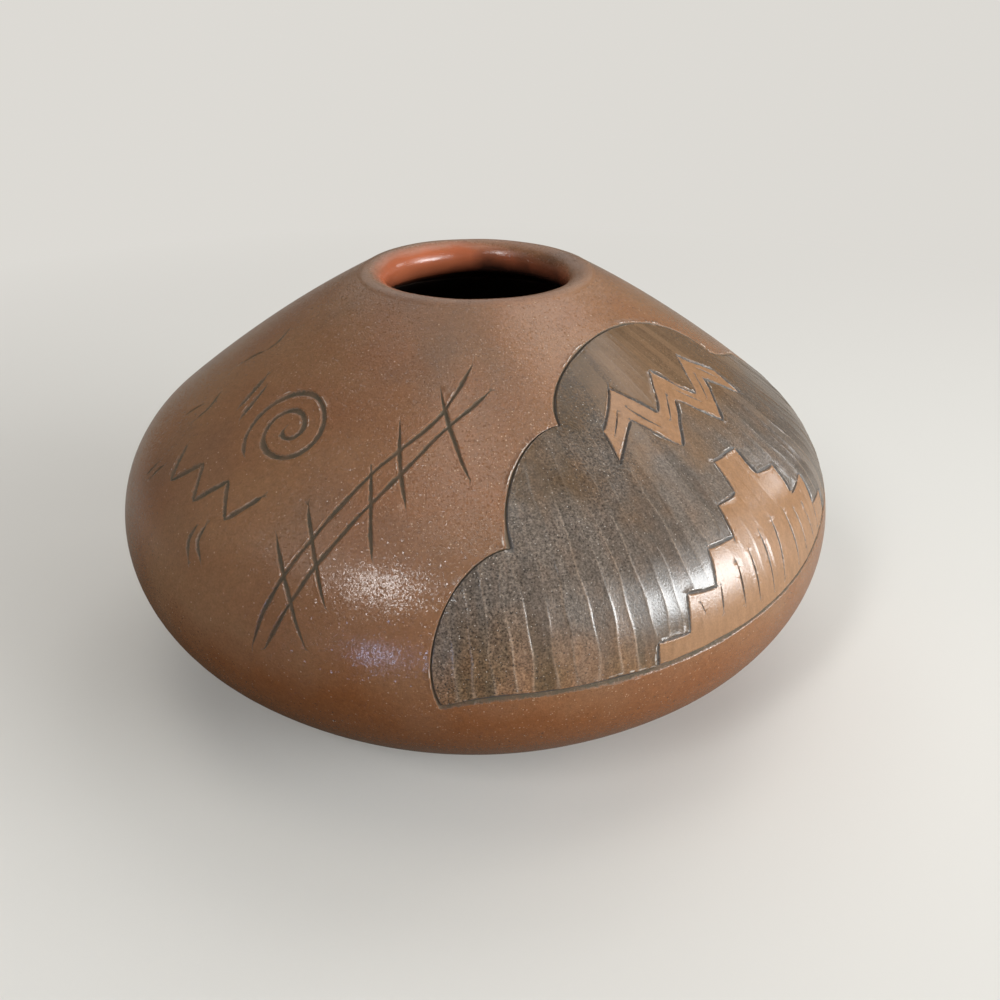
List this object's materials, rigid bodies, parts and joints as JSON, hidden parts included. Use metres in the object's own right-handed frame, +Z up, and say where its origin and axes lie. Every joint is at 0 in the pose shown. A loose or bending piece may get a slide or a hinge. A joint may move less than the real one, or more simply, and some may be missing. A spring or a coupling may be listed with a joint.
{
  "type": "seed pot",
  "caption": "Wide low round pot of thin fired clay with a near-conical shoulder, a tiny round-lipped mouth, a hollow body and a flat base.",
  "frame": {"origin": "middle of the flat base, on the surface the pot stands on", "axes": "+Z up along the pot's turning axis, out of the mouth; -Y towards the decorated side that the picture shows, +X to its right"},
  "size_m": [0.124, 0.124, 0.0725],
  "materials": {
    "fired_clay": "burnished micaceous red-brown clay, satin",
    "dark_slip": "thin dark brown-grey slip, combed, satin with a burnished gleam",
    "red_slip": "polished orange-red slip at the mouth, satin",
    "bare_clay": "unpolished clay inside the pot and under the base, matte"
  },
  "bodies": {
    "root": {"pot_body": "fired_clay"}
  },
  "joints": []
}
